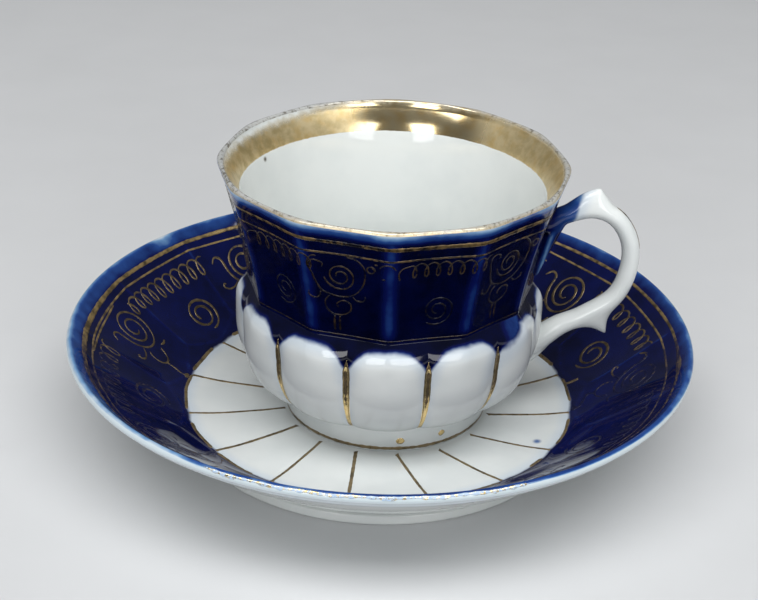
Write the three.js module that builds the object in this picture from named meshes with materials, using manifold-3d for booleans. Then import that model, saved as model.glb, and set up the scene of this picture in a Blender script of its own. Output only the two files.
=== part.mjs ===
// A porcelain tea cup standing on its saucer, in millimetres, +Z up.
// The origin is the saucer's axis on the table. The handle points along +X and -Y is the front.
import * as THREE from "three";
import { mergeVertices } from "three/addons/utils/BufferGeometryUtils.js";
import Module from "manifold-3d";

const wasm = await Module();
wasm.setup();

// Saucer
const SAUCER_RADIUS = 75; // to the outside of the rim
const SAUCER_HEIGHT = 26.5; // table to the top of the rim
const SAUCER_WALL = 2.8; // clay thickness, measured upright
const SAUCER_RIM_ROUND = 1.1; // radius of the rounded rim
const SAUCER_BAND_POWER = 1.15; // how much the band steepens towards the rim
const SAUCER_FOOT_RADIUS = 47; // outside of the foot ring
const SAUCER_FOOT_WIDTH = 4.5; // foot ring, across its tread
const SAUCER_FOOT_HEIGHT = 2.6;
const SAUCER_FOOT_FILLET = 1.2; // underside to foot ring
const WELL_RADIUS = 47; // edge of the white well, where the wall turns up
const WELL_RISE = 1.4; // level middle of the well to its edge
const WELL_CLEARANCE = 3; // level floor left free round the cup's foot
const FLUTE_COUNT = 16;
const FLUTE_TURN = THREE.MathUtils.degToRad(15.2); // first groove, from +X
const FLUTE_DEPTH = 0.6; // hollow of each panel in the blue band
const FLUTE_FADE = 5; // length over which the hollow fades out at each end
const GROOVE_DEPTH = 0.4; // groove between two white petals

// Cup
const CUP_OFFSET = 1.8; // the cup stands this far off the saucer's axis, towards the handle
const CUP_FOOT_RADIUS = 24; // outside of the foot ring's tread
const CUP_FOOT_FLARE = 1.9; // how much wider the foot ring is at its top
const CUP_FOOT_HEIGHT = 7.8;
const CUP_FOOT_WIDTH = 3.6; // foot ring, across its tread
const CUP_FLOOR = 3.2; // clay under the bowl
const CUP_WALL = 2.2; // clay at the thinnest places round the bowl
const CUP_LIP_ROUND = 0.9; // radius of the rounded lip
const LOBE_COUNT = 12;
const LOBE_RADIUS = 36.7; // crest of a lobe at its widest
const LOBE_DEPTH = 2.3; // crest to groove
const LOBE_FULLNESS = 0.92; // share of a half round that a lobe's section takes up
const BELLY_HEIGHT = 15.2; // top of the foot to the widest place
const SHOULDER_HEIGHT = 10.6; // widest place to the waist
const SHOULDER_POWER = 2.2; // how late the lobes draw in below the waist
const WAIST_RADIUS = 34; // on a ridge between facets
const FACET_HEIGHT = 30; // waist to lip
const LIP_RADIUS = 41; // on a ridge between facets
const FLARE_POWER = 1.25; // how late the facets spread towards the lip
const HOLLOW_POWER = 3; // fullness of the inside near the floor

// Handle
const HANDLE_REACH = 17.7; // lip ridge to the outside of the loop
const HANDLE_THICKNESS = 4.3; // across the loop, in its plane
const HANDLE_WIDTH = 5.4; // square to the loop's plane
const HANDLE_ROOT_SWELL = 1.4; // thickness at the lower root over that of the loop
const HANDLE_SWELL_START = 0.5; // share of the loop's length where it starts to thicken
const HANDLE_SWELL_LENGTH = 0.3; // and over which it does
const HANDLE_LOOP_WIDTH = 19.4; // oval of the loop's middle line
const HANDLE_LOOP_HEIGHT = 24.8;
const HANDLE_LOOP_ANGLES = [90, 55, 20, -15, -50]; // degrees, where the handle follows that oval
const HANDLE_UPPER_ROOT = 13; // lip to the middle of the upper root
const HANDLE_CREST = 2.4; // upper root to the crest of the loop's middle line
const HANDLE_LOWER_ROOT = 14.7; // waist to the middle of the lower root
const HANDLE_NECK = 5.8; // lower root to the neck under the loop
const HANDLE_ARM_TURN = 0.6; // share of the way from the neck to the lower root where the arm turns down
const HANDLE_TAIL = 15; // length of the tail that runs down the facets
const HANDLE_TAIL_STAND = 1; // how far the tail's top stands off the wall
const HANDLE_SINK = 3; // how deep the unfinished ends reach into the wall before they are cut
const LUTE_GAP = 0.3; // seam between the handle and the bowl
const THUMB_RISE = 4.2; // thumb rest: its tip over the crest of the middle line
const THUMB_OUT = 1.5; // and out from the middle of the loop
const SPUR_DROP = 3.6; // lower spur: its tip under the neck
const SPUR_OUT = 5; // and out from the middle of the loop
const SPUR_BASE = 2.1; // half thickness of a spur where it leaves the handle
const SPUR_TIP = 0.8;

// Fineness of the facets
const FLUTE_STEPS = 4; // round one flute of the saucer
const LOBE_STEPS = 6; // round one lobe of the cup
const RING_STEPS = 48; // round a foot ring
const PROFILE_STEPS = 6; // along one stretch of a profile
const ROUND_STEPS = 3; // along a rounded edge
const HANDLE_STEPS = 30; // along the loop
const SPUR_STEPS = 5; // along a spur or the tail
const HANDLE_SIDES = 12; // round the handle's section

// Heights and radii that follow from the sizes above
const WELL_FLOOR = SAUCER_FOOT_HEIGHT + SAUCER_WALL;
const WELL_LEVEL_RADIUS = CUP_FOOT_RADIUS + CUP_OFFSET + WELL_CLEARANCE;
const CUP_BOWL_RADIUS = CUP_FOOT_RADIUS + CUP_FOOT_FLARE;
const BELLY = CUP_FOOT_HEIGHT + BELLY_HEIGHT;
const WAIST = BELLY + SHOULDER_HEIGHT;
const LIP = WAIST + FACET_HEIGHT;
const HALF_LOBE = Math.PI / LOBE_COUNT;
const HALF_FLUTE = Math.PI / FLUTE_COUNT;

const steps = (count) => Array.from({ length: count + 1 }, (_, i) => i / count);
const lerp = THREE.MathUtils.lerp;
const smooth = (x) => THREE.MathUtils.smoothstep(x, 0, 1);

// How far an angle lies from the nearest of evenly spaced lines: 0 on a line, 1 half way to the next.
function offLine(angle, half) {
  const turns = angle / (2 * half);
  return Math.abs(turns - Math.round(turns)) * 2;
}

// A closed body round the Z axis. Each station gives a point { r, z } for an angle. The stations run from
// the axis on top, outwards, and back to the axis underneath. Only the first and last are on the axis.
function turned(stations, segments, turn = 0) {
  const points = [];
  const faces = [];
  const rings = stations.slice(1, -1);
  const add = (station, angle) => {
    const { r, z } = station(angle);
    points.push(r * Math.cos(angle), r * Math.sin(angle), z);
  };
  add(stations[0], 0);
  for (const ring of rings) {
    for (let j = 0; j < segments; j++) add(ring, turn + (2 * Math.PI * j) / segments);
  }
  add(stations[stations.length - 1], 0);
  const last = points.length / 3 - 1;
  const at = (i, j) => 1 + i * segments + (j % segments);
  for (let j = 0; j < segments; j++) {
    faces.push(0, at(0, j), at(0, j + 1));
    for (let i = 0; i + 1 < rings.length; i++) {
      faces.push(at(i, j), at(i + 1, j), at(i + 1, j + 1));
      faces.push(at(i, j), at(i + 1, j + 1), at(i, j + 1));
    }
    faces.push(at(rings.length - 1, j), last, at(rings.length - 1, j + 1));
  }
  const geometry = new THREE.BufferGeometry();
  geometry.setAttribute("position", new THREE.Float32BufferAttribute(points, 3));
  geometry.setIndex(faces);
  return geometry;
}

// A foot ring: a closed profile of [radius, height] corners, counter-clockwise, turned round the Z axis.
function footRing(corners) {
  const profile = [...corners, corners[0]].map(([r, z]) => new THREE.Vector2(r, z));
  return new THREE.LatheGeometry(profile, RING_STEPS).rotateX(Math.PI / 2);
}

// An oval bar along a line in the XZ plane, closed at both ends.
// thick(t) and wide(t) are the half sizes of its section at a share t of its length.
function bar(line, thick, wide, count) {
  const points = [];
  const faces = [];
  for (const t of steps(count)) {
    const middle = line.getPoint(t);
    const along = line.getTangent(t);
    for (let k = 0; k < HANDLE_SIDES; k++) {
      const turn = (2 * Math.PI * k) / HANDLE_SIDES;
      const across = thick(t) * Math.cos(turn);
      points.push(middle.x + along.y * across, wide(t) * Math.sin(turn), middle.y - along.x * across);
    }
  }
  const at = (i, k) => i * HANDLE_SIDES + (k % HANDLE_SIDES);
  for (let i = 0; i < count; i++) {
    for (let k = 0; k < HANDLE_SIDES; k++) {
      faces.push(at(i, k), at(i, k + 1), at(i + 1, k + 1));
      faces.push(at(i, k), at(i + 1, k + 1), at(i + 1, k));
    }
  }
  for (let k = 1; k + 1 < HANDLE_SIDES; k++) {
    faces.push(at(0, 0), at(0, k + 1), at(0, k));
    faces.push(at(count, 0), at(count, k), at(count, k + 1));
  }
  const geometry = new THREE.BufferGeometry();
  geometry.setAttribute("position", new THREE.Float32BufferAttribute(points, 3));
  geometry.setIndex(faces);
  return geometry;
}

function solid(geometry) {
  const bare = geometry.clone();
  bare.deleteAttribute("normal");
  bare.deleteAttribute("uv");
  const merged = mergeVertices(bare);
  const vertProperties = new Float32Array(merged.attributes.position.array);
  const triVerts = new Uint32Array(merged.index.array);
  return new wasm.Manifold(new wasm.Mesh({ numProp: 3, vertProperties, triVerts }));
}

function surface(manifold) {
  const mesh = manifold.getMesh();
  const geometry = new THREE.BufferGeometry();
  geometry.setAttribute("position", new THREE.BufferAttribute(mesh.vertProperties, 3));
  geometry.setIndex(new THREE.BufferAttribute(mesh.triVerts, 1));
  return geometry;
}

// Saucer: the top of the clay at a radius and angle. Panels of the band are hollow between ridges,
// and the white petals of the well meet in grooves that run on from the middle of each panel.
function saucerTop(r, angle) {
  const edge = WELL_FLOOR + WELL_RISE;
  const off = offLine(angle - FLUTE_TURN, HALF_FLUTE);
  if (r <= WELL_LEVEL_RADIUS) return WELL_FLOOR;
  if (r <= WELL_RADIUS) {
    const share = (r - WELL_LEVEL_RADIUS) / (WELL_RADIUS - WELL_LEVEL_RADIUS);
    const groove = GROOVE_DEPTH * (1 - off) ** 2 * Math.sin(Math.PI * share);
    return WELL_FLOOR + WELL_RISE * share ** 2 - groove;
  }
  const rim = SAUCER_RADIUS - SAUCER_RIM_ROUND;
  const share = (r - WELL_RADIUS) / (rim - WELL_RADIUS);
  const fade = smooth((r - WELL_RADIUS) / FLUTE_FADE) * smooth((rim - r) / FLUTE_FADE);
  return lerp(edge, SAUCER_HEIGHT, share ** SAUCER_BAND_POWER) - FLUTE_DEPTH * (1 - off ** 2) * fade;
}

function saucerDish() {
  const rim = SAUCER_RADIUS - SAUCER_RIM_ROUND;
  const seat = SAUCER_FOOT_HEIGHT;
  const ridge = FLUTE_TURN + HALF_FLUTE;
  const top = (r) => (angle) => ({ r, z: saucerTop(r, angle) });
  const under = (r) => () => ({ r, z: Math.max(seat, saucerTop(r, ridge) - SAUCER_WALL) });
  const well = steps(PROFILE_STEPS).map((t) => top(lerp(WELL_LEVEL_RADIUS, WELL_RADIUS, t)));
  const band = steps(2 * PROFILE_STEPS).map((t) => top(lerp(WELL_RADIUS, rim, t)));
  const round = steps(ROUND_STEPS).map((t) => () => ({
    r: rim + SAUCER_RIM_ROUND * Math.sin(Math.PI * t),
    z: SAUCER_HEIGHT - SAUCER_RIM_ROUND * (1 - Math.cos(Math.PI * t)),
  }));
  const turn = SAUCER_FOOT_RADIUS + SAUCER_FOOT_FILLET;
  const outside = steps(PROFILE_STEPS).map((t) => under(lerp(rim - SAUCER_RIM_ROUND, turn, t)));
  const stations = [
    top(0),
    ...well,
    ...band.slice(1, -1),
    ...round,
    ...outside,
    () => ({ r: SAUCER_FOOT_RADIUS, z: seat }),
    () => ({ r: 0, z: seat }),
  ];
  return turned(stations, FLUTE_COUNT * FLUTE_STEPS, FLUTE_TURN);
}

function saucerFootRing() {
  const inner = SAUCER_FOOT_RADIUS - SAUCER_FOOT_WIDTH;
  return footRing([
    [inner, 0],
    [SAUCER_FOOT_RADIUS, 0],
    [SAUCER_FOOT_RADIUS, SAUCER_FOOT_HEIGHT],
    [inner, SAUCER_FOOT_HEIGHT],
  ]);
}

// Cup, with heights counted from the foot's tread.
// The crest is the outside radius on the middle of a lobe or on a ridge between facets.
function crest(h) {
  if (h <= BELLY) {
    const share = (BELLY - h) / BELLY_HEIGHT;
    return CUP_BOWL_RADIUS + (LOBE_RADIUS - CUP_BOWL_RADIUS) * Math.sqrt(Math.max(0, 1 - share ** 2));
  }
  if (h <= WAIST) {
    const share = (h - BELLY) / SHOULDER_HEIGHT;
    return lerp(LOBE_RADIUS, WAIST_RADIUS, share ** SHOULDER_POWER);
  }
  return lerp(WAIST_RADIUS, LIP_RADIUS, ((h - WAIST) / FACET_HEIGHT) ** FLARE_POWER);
}

// How far the outside lies within the crest. off is the share of the way from a crest
// to the next groove between lobes, or to the middle of the next facet.
function drawnIn(h, off) {
  const facet = crest(h) * (1 - Math.cos(HALF_LOBE) / Math.cos(HALF_LOBE * (1 - off)));
  if (h >= WAIST) return facet;
  const arc = (x) => 1 - Math.sqrt(1 - (LOBE_FULLNESS * x) ** 2);
  const below = Math.max(0, BELLY - h) / BELLY_HEIGHT;
  const lobe = LOBE_DEPTH * Math.sqrt(Math.max(0, 1 - below ** 2)) * (arc(off) / arc(1));
  return lerp(lobe, facet, smooth((h - BELLY) / SHOULDER_HEIGHT));
}

function bowlOutside(h, angle) {
  return crest(h) - drawnIn(h, offLine(angle, HALF_LOBE));
}

function bowlInside(h) {
  const floor = CUP_FOOT_HEIGHT + CUP_FLOOR;
  const wide = (at) => crest(at) - drawnIn(at, 1) - CUP_WALL;
  if (h >= BELLY) return wide(h);
  const share = (BELLY - h) / (BELLY - floor);
  return wide(BELLY) * Math.max(0, 1 - share ** HOLLOW_POWER) ** (1 / HOLLOW_POWER);
}

// Heights of the outside's stations from the lip down to the foot, closer together where the lobes turn in.
function outsideHeights() {
  const facets = steps(PROFILE_STEPS).map((t) => lerp(LIP - CUP_LIP_ROUND, WAIST, t));
  const shoulder = steps(Math.ceil(PROFILE_STEPS / 2)).map((t) => lerp(WAIST, BELLY, t));
  const belly = steps(PROFILE_STEPS).map((t) => BELLY - BELLY_HEIGHT * Math.sin((Math.PI / 2) * t));
  return [...facets, ...shoulder.slice(1), ...belly.slice(1)];
}

function bowlSolid(inside, grow) {
  const outer = (h) => (angle) => ({ r: bowlOutside(h, angle) + grow, z: h });
  const foot = () => ({ r: 0, z: CUP_FOOT_HEIGHT });
  return turned([...inside, ...outsideHeights().map(outer), foot], LOBE_COUNT * LOBE_STEPS);
}

function cupBowl() {
  const floor = CUP_FOOT_HEIGHT + CUP_FLOOR;
  const inner = (h) => () => ({ r: bowlInside(h), z: h });
  const depth = BELLY - floor;
  const hollow = steps(PROFILE_STEPS).map((t) => inner(BELLY - depth * Math.cos((Math.PI / 2) * t)));
  const wall = steps(PROFILE_STEPS).map((t) => inner(lerp(BELLY, LIP - CUP_LIP_ROUND, t)));
  const round = steps(ROUND_STEPS + 1).map((t) => (angle) => {
    const inside = bowlInside(LIP - CUP_LIP_ROUND);
    const outside = bowlOutside(LIP - CUP_LIP_ROUND, angle);
    return {
      r: lerp(inside, outside, (1 - Math.cos(Math.PI * t)) / 2),
      z: LIP - CUP_LIP_ROUND * (1 - Math.sin(Math.PI * t)),
    };
  });
  return bowlSolid([...hollow, ...wall.slice(1), ...round.slice(1, -1)], 0);
}

// The bowl without its hollow, grown by the seam that the handle keeps to it.
function handleSeat() {
  const lid = () => ({ r: 0, z: LIP });
  const edge = (angle) => ({ r: bowlOutside(LIP, angle) + LUTE_GAP, z: LIP });
  return bowlSolid([lid, edge], LUTE_GAP);
}

function cupFootRing() {
  return footRing([
    [CUP_FOOT_RADIUS - CUP_FOOT_WIDTH, 0],
    [CUP_FOOT_RADIUS, 0],
    [CUP_BOWL_RADIUS, CUP_FOOT_HEIGHT],
    [CUP_FOOT_RADIUS - CUP_FOOT_WIDTH, CUP_FOOT_HEIGHT],
  ]);
}

// The handle: an oval loop between two roots on the lobe at +X, with a thumb rest above, a spur below
// and a tail that runs down the facets. All of it is cut to the bowl's wall.
function cupHandle() {
  const thick = HANDLE_THICKNESS / 2;
  const wide = HANDLE_WIDTH / 2;
  const upper = new THREE.Vector2(crest(LIP - HANDLE_UPPER_ROOT), LIP - HANDLE_UPPER_ROOT);
  const lower = new THREE.Vector2(crest(WAIST - HANDLE_LOWER_ROOT), WAIST - HANDLE_LOWER_ROOT);
  const loop = new THREE.Vector2(
    LIP_RADIUS + HANDLE_REACH - thick - HANDLE_LOOP_WIDTH / 2,
    upper.y + HANDLE_CREST - HANDLE_LOOP_HEIGHT / 2,
  );
  const onLoop = (degrees) => {
    const turn = THREE.MathUtils.degToRad(degrees);
    return new THREE.Vector2(
      loop.x + (HANDLE_LOOP_WIDTH / 2) * Math.cos(turn),
      loop.y + (HANDLE_LOOP_HEIGHT / 2) * Math.sin(turn),
    );
  };
  const neck = new THREE.Vector2(loop.x, lower.y + HANDLE_NECK);
  const middle = new THREE.SplineCurve([
    new THREE.Vector2(upper.x - HANDLE_SINK, upper.y - HANDLE_CREST),
    new THREE.Vector2(upper.x + HANDLE_SINK, upper.y + HANDLE_CREST / 3),
    ...HANDLE_LOOP_ANGLES.map(onLoop),
    neck,
    neck.clone().lerp(lower, HANDLE_ARM_TURN),
    new THREE.Vector2(lower.x - HANDLE_SINK, lower.y - HANDLE_NECK / 2),
  ]);
  const swell = (t) => lerp(1, HANDLE_ROOT_SWELL, smooth((t - HANDLE_SWELL_START) / HANDLE_SWELL_LENGTH));
  const loopBar = bar(middle, (t) => thick * swell(t), (t) => wide * swell(t), HANDLE_STEPS);

  const tapered = (from, to, base) => {
    const half = (t) => lerp(base, SPUR_TIP, t);
    return bar(new THREE.LineCurve(from, to), half, half, SPUR_STEPS);
  };
  const thumb = tapered(
    new THREE.Vector2(upper.x + HANDLE_SINK, upper.y + HANDLE_CREST / 2),
    new THREE.Vector2(loop.x + THUMB_OUT, upper.y + HANDLE_CREST + THUMB_RISE),
    SPUR_BASE,
  );
  const spur = tapered(neck, new THREE.Vector2(loop.x + SPUR_OUT, neck.y - SPUR_DROP), SPUR_BASE);
  const tailEnd = upper.y - HANDLE_TAIL;
  const tail = tapered(
    new THREE.Vector2(upper.x + HANDLE_TAIL_STAND, upper.y),
    new THREE.Vector2(crest(tailEnd), tailEnd),
    thick,
  );
  const whole = [thumb, spur, tail].map(solid).reduce((sum, piece) => sum.add(piece), solid(loopBar));
  return surface(whole.subtract(solid(handleSeat())));
}

function piece(name, geometry, color, roughness) {
  const material = new THREE.MeshStandardMaterial({ color, roughness, metalness: 0 });
  const mesh = new THREE.Mesh(geometry, material);
  mesh.name = name;
  return mesh;
}

const COBALT = 0x0b0e4a;
const PORCELAIN = 0xe3e6e6;

const saucer = new THREE.Group();
saucer.add(piece("saucer_dish", saucerDish(), COBALT, 0.12));
saucer.add(piece("saucer_foot_ring", saucerFootRing(), PORCELAIN, 0.3));

const cup = new THREE.Group();
cup.position.set(CUP_OFFSET, 0, WELL_FLOOR);
cup.add(piece("cup_bowl", cupBowl(), COBALT, 0.1));
cup.add(piece("cup_foot_ring", cupFootRing(), PORCELAIN, 0.12));
cup.add(piece("cup_handle", cupHandle(), PORCELAIN, 0.1));

const cupAndSaucer = new THREE.Group();
cupAndSaucer.add(saucer, cup);

export default cupAndSaucer;
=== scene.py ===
"""The looks of a fluted porcelain cup and saucer in cobalt blue, white and worn gilding."""

from math import cos, pi, radians, sin, sqrt

import bpy
import numpy as np
from mathutils import Matrix, Vector
from mathutils.bvhtree import BVHTree


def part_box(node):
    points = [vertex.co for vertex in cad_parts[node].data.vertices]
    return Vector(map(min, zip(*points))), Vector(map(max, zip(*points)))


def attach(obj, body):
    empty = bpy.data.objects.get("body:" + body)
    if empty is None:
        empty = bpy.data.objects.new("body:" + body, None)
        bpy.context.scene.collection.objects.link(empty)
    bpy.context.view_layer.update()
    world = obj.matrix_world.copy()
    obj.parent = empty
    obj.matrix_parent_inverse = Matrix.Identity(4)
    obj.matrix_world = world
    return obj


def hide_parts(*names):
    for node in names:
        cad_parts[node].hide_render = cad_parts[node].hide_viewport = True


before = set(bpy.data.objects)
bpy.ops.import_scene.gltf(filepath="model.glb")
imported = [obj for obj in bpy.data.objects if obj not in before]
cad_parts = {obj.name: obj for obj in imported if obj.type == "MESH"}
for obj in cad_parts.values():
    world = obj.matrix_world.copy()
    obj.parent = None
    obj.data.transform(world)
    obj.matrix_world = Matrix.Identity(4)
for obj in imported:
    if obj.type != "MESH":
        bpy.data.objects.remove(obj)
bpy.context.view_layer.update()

# Lengths are in millimetres, and heights on the cup are counted from its tread. Only the last
# section, on floor, light and camera, is in metres.
MM = 0.001
TURN = 2 * pi


def box_mm(node):
    low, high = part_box(node)
    return np.array(low) / MM, np.array(high) / MM


DISH_LOW, DISH_HIGH = box_mm("saucer_dish")
CUP_FOOT_LOW, CUP_FOOT_HIGH = box_mm("cup_foot_ring")

# Saucer: a white well with petals, and a cobalt band of hollow panels that climbs to the rim.
SAUCER_HEIGHT = DISH_HIGH[2]
SAUCER_SEAT = DISH_LOW[2]
SAUCER_WALL = 2.8
RIM_ROUND = 1.1
RIM = DISH_HIGH[0] - RIM_ROUND
BAND_POWER = 1.15
SAUCER_FOOT = box_mm("saucer_foot_ring")[1][0]
SAUCER_FOOT_WIDE = 4.5
FOOT_ROUND = 0.9
WELL_FLOOR = CUP_FOOT_LOW[2]
WELL_RADIUS = 47.0
WELL_RISE = 1.4
WELL_POWER = 1.2
WELL_LEVEL = 28.8
WELL_MIDDLE = 6.0  # radius of the mesh's innermost ring
UNDER_RINGS = (SAUCER_FOOT - 2, 30.0, 12.0)  # radii of its rings inside the foot
PANELS = 16
PANEL_TURN = radians(15.2)
PANEL_HALF = pi / PANELS
PANEL_DEPTH = 0.6
PANEL_FADE = 5.0
PANEL_END = 48.2  # a panel's inner end, on its middle
PANEL_END_RISE = 3.6  # how much further out its corners are
PANEL_END_POWER = 1.6
PETAL_DEPTH = 0.28
PETAL_INNER = 26.0
PETAL_BEGIN = 11.0  # lengths over which a petal's hollow deepens and runs out
PETAL_FADE = 7.0
SWING = radians(2.7)  # how far the petals' lines turn on their way in
SWING_UNEVEN = radians(3.0)
SWING_MOST = radians(340)
RIDGE_HEIGHT = 0.05
RIDGE_WIDTH = 0.5
RIDGE_END = 0.8  # share of that height at a panel's inner end
RIDGE_START = 1.2  # lengths over which a ridge between panels rises and runs out
RIDGE_FADE = 4.0

# Cup: twelve lobes below a waist, then twelve facets that flare to the lip.
CUP_AXIS = (CUP_FOOT_LOW[0] + CUP_FOOT_HIGH[0]) / 2
CUP_BASE = CUP_FOOT_LOW[2]
CUP_ORIGIN = np.array([CUP_AXIS, 0, CUP_BASE])
CUP_FOOT = 24.4
CUP_FOOT_WIDTH = 4.0
CUP_FOOT_ROUND = 0.4
CUP_BOWL_RADIUS = CUP_FOOT_HIGH[0] - CUP_AXIS
FOOT_TOP = CUP_FOOT_HIGH[2] - CUP_BASE
LIP = box_mm("cup_bowl")[1][2] - CUP_BASE
LOBES = 12
LOBE_HALF = pi / LOBES
LOBE_RADIUS = 36.7
LOBE_DEPTH = 2.3
LOBE_FULLNESS = 0.92
LOBE_FOOT = 0.22  # share of a groove's depth that is left at the foot
LOBE_TOP = 0.5  # and at the waist
LOBE_END = 0.5  # how far below the waist a lobe has turned into facets
LOBE_BLEND = 7.5  # and over what height it does
BELLY_HEIGHT = 15.2
BELLY = FOOT_TOP + BELLY_HEIGHT
SHOULDER_HEIGHT = 10.6
SHOULDER_TURN = (0.40, 0.80)  # shares of that height between which the wall turns inward
WAIST = BELLY + SHOULDER_HEIGHT
CREASE = 0.05  # half the height over which the shoulder meets the facets
WAIST_RADIUS = 34.0
LIP_RADIUS = 41.0
FLARE_POWER = 1.25
FACET_HOLLOW = 0.3
FACET_EASE = 6.0
RIDGE_SOFT = 0.10  # share of a half facet over which its ridge is rounded off
LIP_SOFT = 0.40  # the same at the lip
LIP_FACET = 0.45  # share of a facet's depth that is left at the lip
LIP_EASE = 9.0
CUP_WALL = 2.2
CUP_FLOOR = FOOT_TOP + 3.2
CUP_UNDER_RINGS = (20.0, 10.0)  # radii of the mesh's rings inside the foot
HOLLOW_POWER = 3.0
LIP_ROUND = 0.9
LIP_EDGE = LIP - LIP_ROUND
LIP_FLARE = 2.2  # how far the inside leans out over the gilt band
LIP_FLARE_POWER = 1.5

# Handle: a centre line in the plane y = 0, with a thumb rest, a spur and two tails on the wall.
HANDLE_THICK = 2.15
HANDLE_WIDE = 2.7
HANDLE_SINK = 2.0
HANDLE_LOOP = (46.85, 40.6)
HANDLE_MIDDLE = CUP_ORIGIN + (HANDLE_LOOP[0], 0, HANDLE_LOOP[1])
LOOP_SIZE = (9.7, 12.4)
HANDLE_UPPER = 50.6
HANDLE_LOWER = 18.9
HANDLE_VOXEL = 0.42
UPPER_TAIL = 15.0  # how far down the wall the tails run
LOWER_TAIL = 8.5
TAIL_ABOVE = 0.5  # how far above the handle's ends they begin
LOOP_BULGE = 1.07  # how much further out than the oval the loop's lower turn goes
NECK_RISE = 6.5
THUMB_AT = 47.4  # place along x of the thumb rest's tip
THUMB_STAND = 3.3  # how far it stands out of the loop
THUMB_RISE = 7.0
THUMB_FALL = 3.6
SPUR_AT = 48.6
SPUR_STAND = 5.2
SPUR_FALL = 2.1

# Painted bounds. How thin the blue is goes from 0, thick, to 1, bare white.
COBALT_EDGE = 47.2
COBALT_POINT = 0.5  # how much further in it reaches on a petal's line
BAND_THIN = 0.12
RIM_THIN = 0.48
RIM_WHITE = 0.92
RIM_FADE = (70.0, 3.2)  # radius from which the blue thins, and over what width
RIM_PALE = (72.0, 2.2)
# where the rim's painted highlight begins, and over what width
RIM_HIGHLIGHT = (72.9, 1.7)
RIM_FRONT_WHITE = 74.75  # radius from which the rim's front is white
RIM_PALER = (215, 0.55, 0.20)  # angle in degrees, half width in radians and how much thinner
RIM_DEEPER = (290, 0.60, -0.12)
RIM_CHIP = (143.5, 0.045, 0.30)
UNDER_EDGE = (0.7, 3.0, 5.0)  # the white below: how far off the blue, more inwards, over what width
ARCH_TOP = 31.9
ARCH_CORNER = 4.2
ARCH_SAG = 0.8
STRIP_HALF = 0.95
STRIP_END = 24.0
STREAK_THIN = 0.31  # on the ridges between facets
STREAK_WIDTH = 1.7
LIP_BAND = 6.8
LIP_THIN = (0.84, 0.62)  # on a ridge and on a facet's middle
LIP_FADE = (LIP - 4.2, 3.6)
RUN_ANGLE = radians(315)  # a run of blue over the corner of the lobe beside the handle
RUN_ACROSS = 9.0  # how far it reaches from the groove beside it
RUN_LOW = 27.6  # its lowest place, at the groove
RUN_CLIMB = 0.28  # how fast its lower edge climbs from there
RUN_CORNER = 3.5
RUN_THIN = 0.46
RUB_DEPTH = (2.6, 5.0)  # how far down from the lip the gold is rubbed, and on the left
RUB_LEFT = (150, 0.75)
HANDLE_BLUE = 4.9  # how far from the cup's wall the handle is blue, above a height
HANDLE_BLUE_LOW = 33.0
SPECK_INSIDE = (-29.2, 16.8, 61.1)

# Gilding: a raised film, laid out flat at one radius of each piece.
SAUCER_CHART = 60.0
CUP_CHART = 37.0
HANDLE_CHART = 11.0
GILT_PROUD = 0.05
GILT_SINK = 0.06
GILT_STEP = 0.35
STROKE_END = 0.8  # length over which a stroke narrows to its ends
NIB = np.array([0.62, -0.78])  # direction in which the brush draws broadest
RIM_LINE = 71.05
RIM_LINE_LEAN = 0.35
RIM_DABS = ((350.5, 0.06, 0.6), (184, 0.24, 0.34))
INNER_LINE = 68.85
PETAL_LINE_END = 46.9
RIM_GOLD = 74.5
LIP_LINE = 59.3
SECOND_LINE = 56.1
WAIST_LINE = 34.4
FOOT_LINE = 0.95
# Gold dabs on the cup's foot that stand in for gold glints mirrored in its glaze: a painted
# reflection.
REFLECTION_DABS = ((278.5, 3.2, 2.0), (302.0, 3.8, 1.7))  # angle in degrees, height and size


def smooth(t):
    t = np.clip(t, 0.0, 1.0)
    return t * t * (3.0 - 2.0 * t)


def rise(value, start, length):
    """0 up to the start, 1 a length on, and smooth between them."""
    return smooth((value - start) / length)


def fall(value, end, length):
    """1 until a length before the end, then smoothly down to 0."""
    return smooth((end - value) / length)


def lerp(a, b, t):
    return a + (b - a) * t


def pair(a, b):
    return np.stack([a, b], axis=-1)


def bell(value, middle, width):
    return np.exp(-(((value - middle) / width) ** 2))


def patch(angle, degrees, width, amount=1.0):
    """That amount at an angle in degrees, fading beside it over a width in radians."""
    return amount * bell(angle, radians(degrees), width)


def unit(vectors):
    return vectors / np.linalg.norm(vectors, axis=-1, keepdims=True)


def run_along(path):
    """Distance from the start of a path to each of its points."""
    return np.r_[0, np.cumsum(np.linalg.norm(np.diff(path, axis=0), axis=1))]


def off_line(angle, half):
    """0 on a line, 1 half way to the next, with lines every two halves."""
    turns = np.asarray(angle) / (2.0 * half)
    return np.abs(turns - np.round(turns)) * 2.0


# Saucer surfaces


def panel_end(off):
    return PANEL_END + PANEL_END_RISE * off**PANEL_END_POWER


def panel_line(r, off):
    """1 on the raised line round a panel, fading to 0 beside it."""
    reach = rise(r, panel_end(1.0) - RIDGE_START / 2, RIDGE_START) * fall(r, RIM - 1.5, RIDGE_FADE)
    beside = bell((1.0 - off) * PANEL_HALF * r, 0, RIDGE_WIDTH) * reach
    below = bell(r, panel_end(off), RIDGE_WIDTH) * RIDGE_END
    return np.maximum(beside, below)


def petal_swing(r, angle):
    """How far a petal's line has turned from its panel's line at a radius, in radians."""
    share = np.maximum(0, (WELL_RADIUS / r - 1) / (WELL_RADIUS / PETAL_INNER - 1))
    return -share * (SWING + SWING_UNEVEN * np.cos(angle - SWING_MOST))


def band_climb(r):
    """Height of the plain band over the edge of the well."""
    band = np.clip((r - WELL_RADIUS) / (RIM - WELL_RADIUS), 0, 1)
    return (SAUCER_HEIGHT - WELL_FLOOR - WELL_RISE) * band**BAND_POWER


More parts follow.
